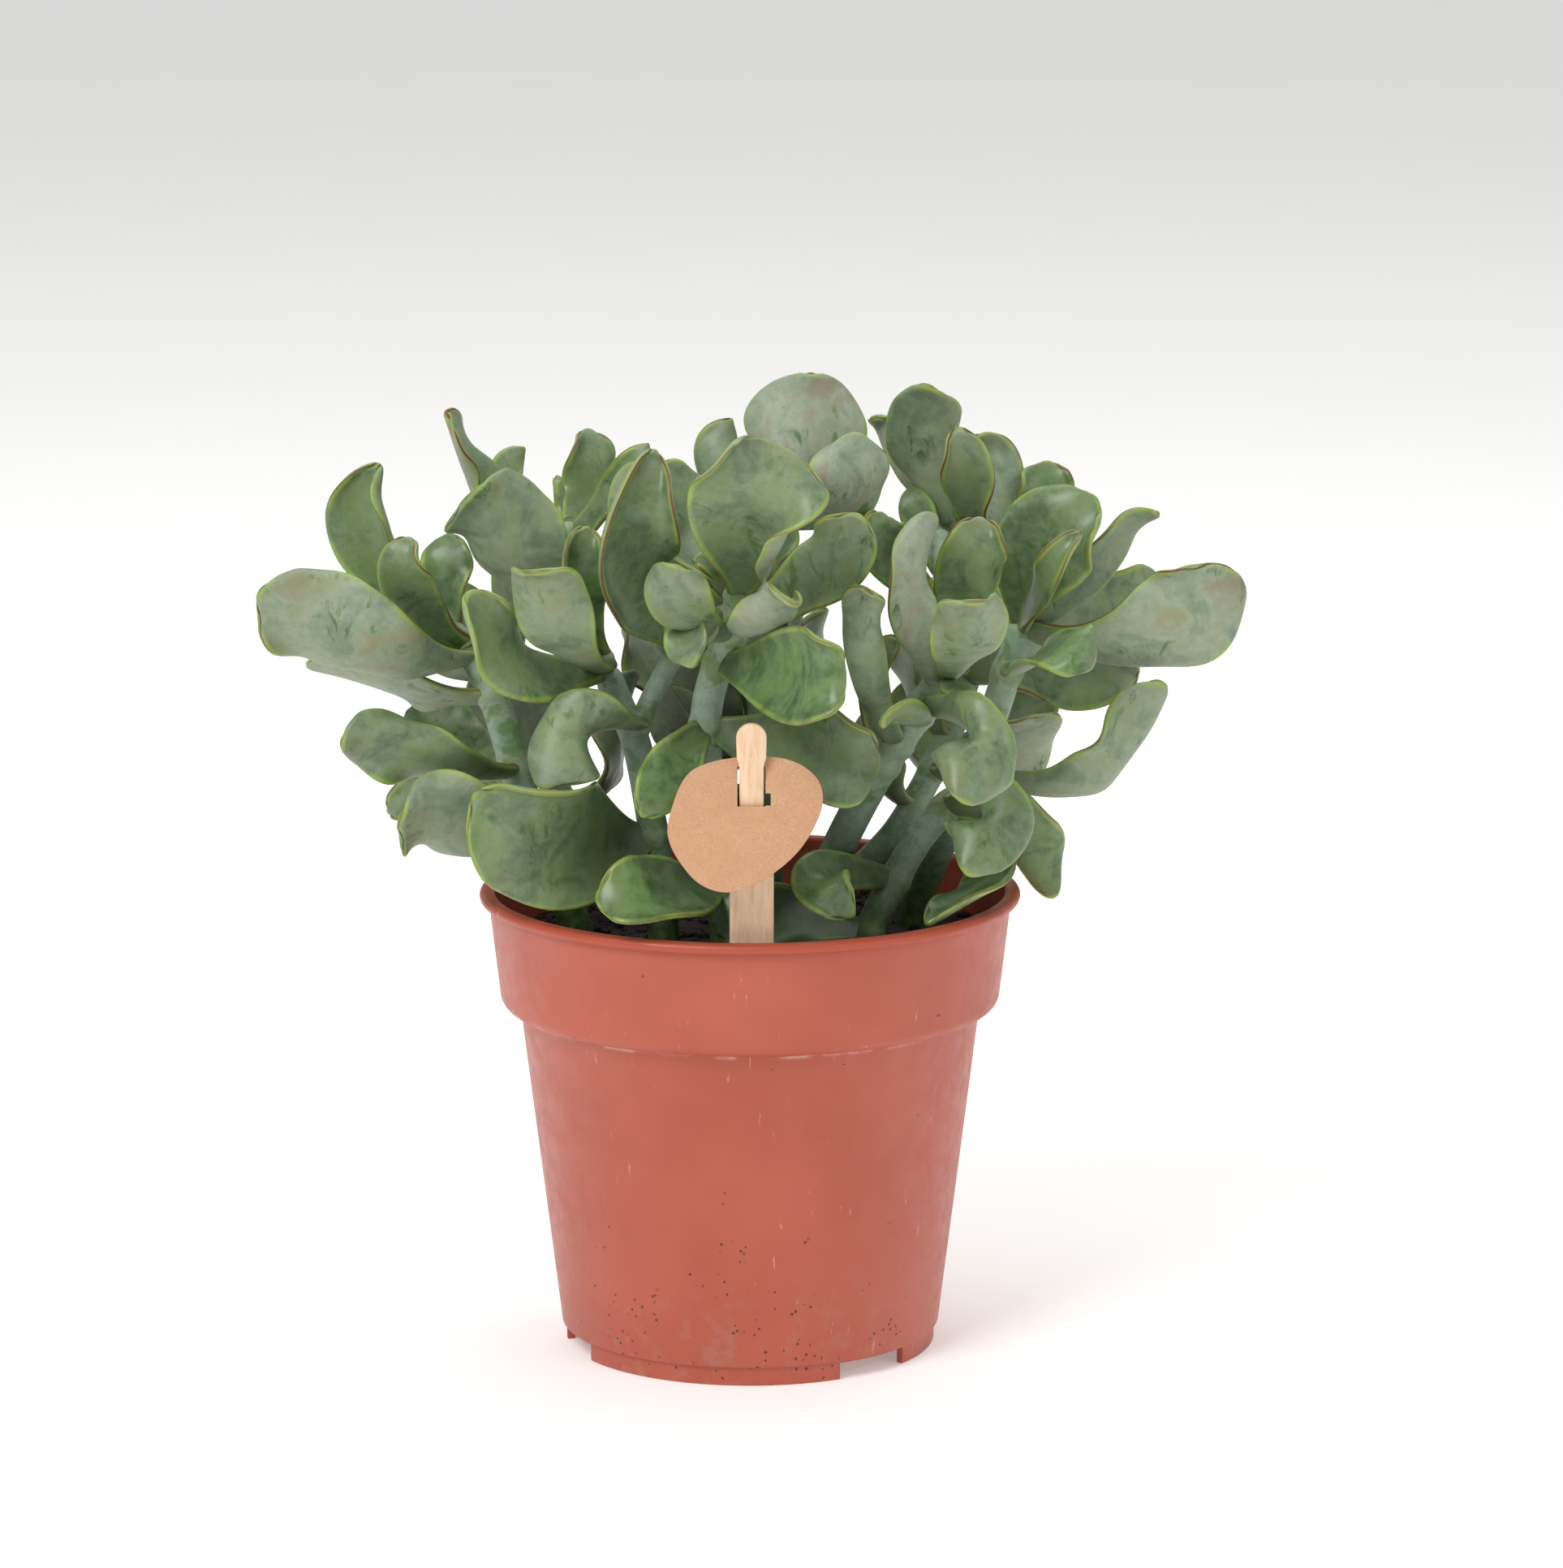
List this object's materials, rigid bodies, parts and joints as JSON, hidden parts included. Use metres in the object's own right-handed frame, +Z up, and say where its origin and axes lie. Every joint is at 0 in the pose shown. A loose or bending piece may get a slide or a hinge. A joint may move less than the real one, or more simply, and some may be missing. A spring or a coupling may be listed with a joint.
{
  "type": "potted ripple jade",
  "caption": "Bushy ripple jade succulent with wavy grey-green leaves on thick stems, in a terracotta-coloured plastic nursery pot with soil, a wooden stake and a blank board tag.",
  "frame": {"origin": "on the floor under the centre of the object's bounding box, within 2 mm of the pot's turning axis", "axes": "+Z up along the pot's axis, the stake and its tag at the front (-Y), +X to the right as seen from the front"},
  "size_m": [0.2148, 0.1467, 0.2194],
  "materials": {
    "pot_plastic": "satin",
    "soil": "matte",
    "stake_wood": "matte",
    "tag_board": "matte",
    "leaf": "satin"
  },
  "bodies": {
    "root": {"nursery_pot": "pot_plastic", "potting_soil": "soil", "plant_stake": "stake_wood", "stake_tag": "tag_board", "leafy_stem_left": "leaf", "leafy_stem_left_front": "leaf", "leafy_stem_centre": "leaf", "leafy_stem_right_front": "leaf", "leafy_stem_right": "leaf", "leafy_stem_low": "leaf", "leafy_stem_back_left": "leaf", "leafy_stem_back": "leaf", "leafy_stem_back_right": "leaf", "leafy_stem_middle": "leaf"}
  },
  "joints": []
}
